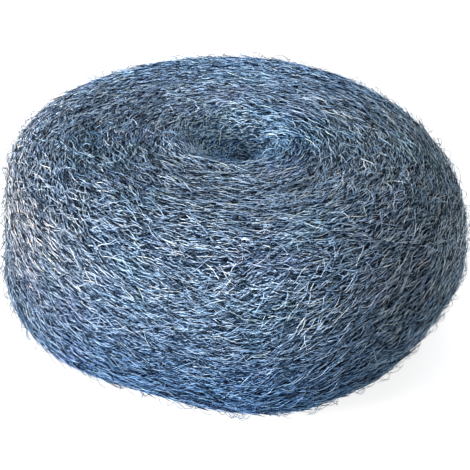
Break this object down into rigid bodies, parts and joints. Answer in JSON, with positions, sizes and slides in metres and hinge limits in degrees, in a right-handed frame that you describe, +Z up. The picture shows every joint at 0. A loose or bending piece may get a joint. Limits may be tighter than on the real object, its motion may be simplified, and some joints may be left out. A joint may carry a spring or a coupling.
{
  "type": "steel wool roll",
  "caption": "Soft roll of coarse steel wool, a long strip wound flat on itself, with rounded edges, spiral seams on both ends and a closed-in hollow in the middle.",
  "frame": {"origin": "on the surface that the roll stands on, under the middle of its outline", "axes": "+Z up along the winding axis, -Y towards the front, +X to the right seen from the front"},
  "size_m": [0.246, 0.2444, 0.1046],
  "materials": {
    "steel_wool": "fine bright steel fibres over dark gaps, blue-grey, matted"
  },
  "bodies": {
    "root": {"steel_wool_roll": "steel_wool"}
  },
  "joints": []
}
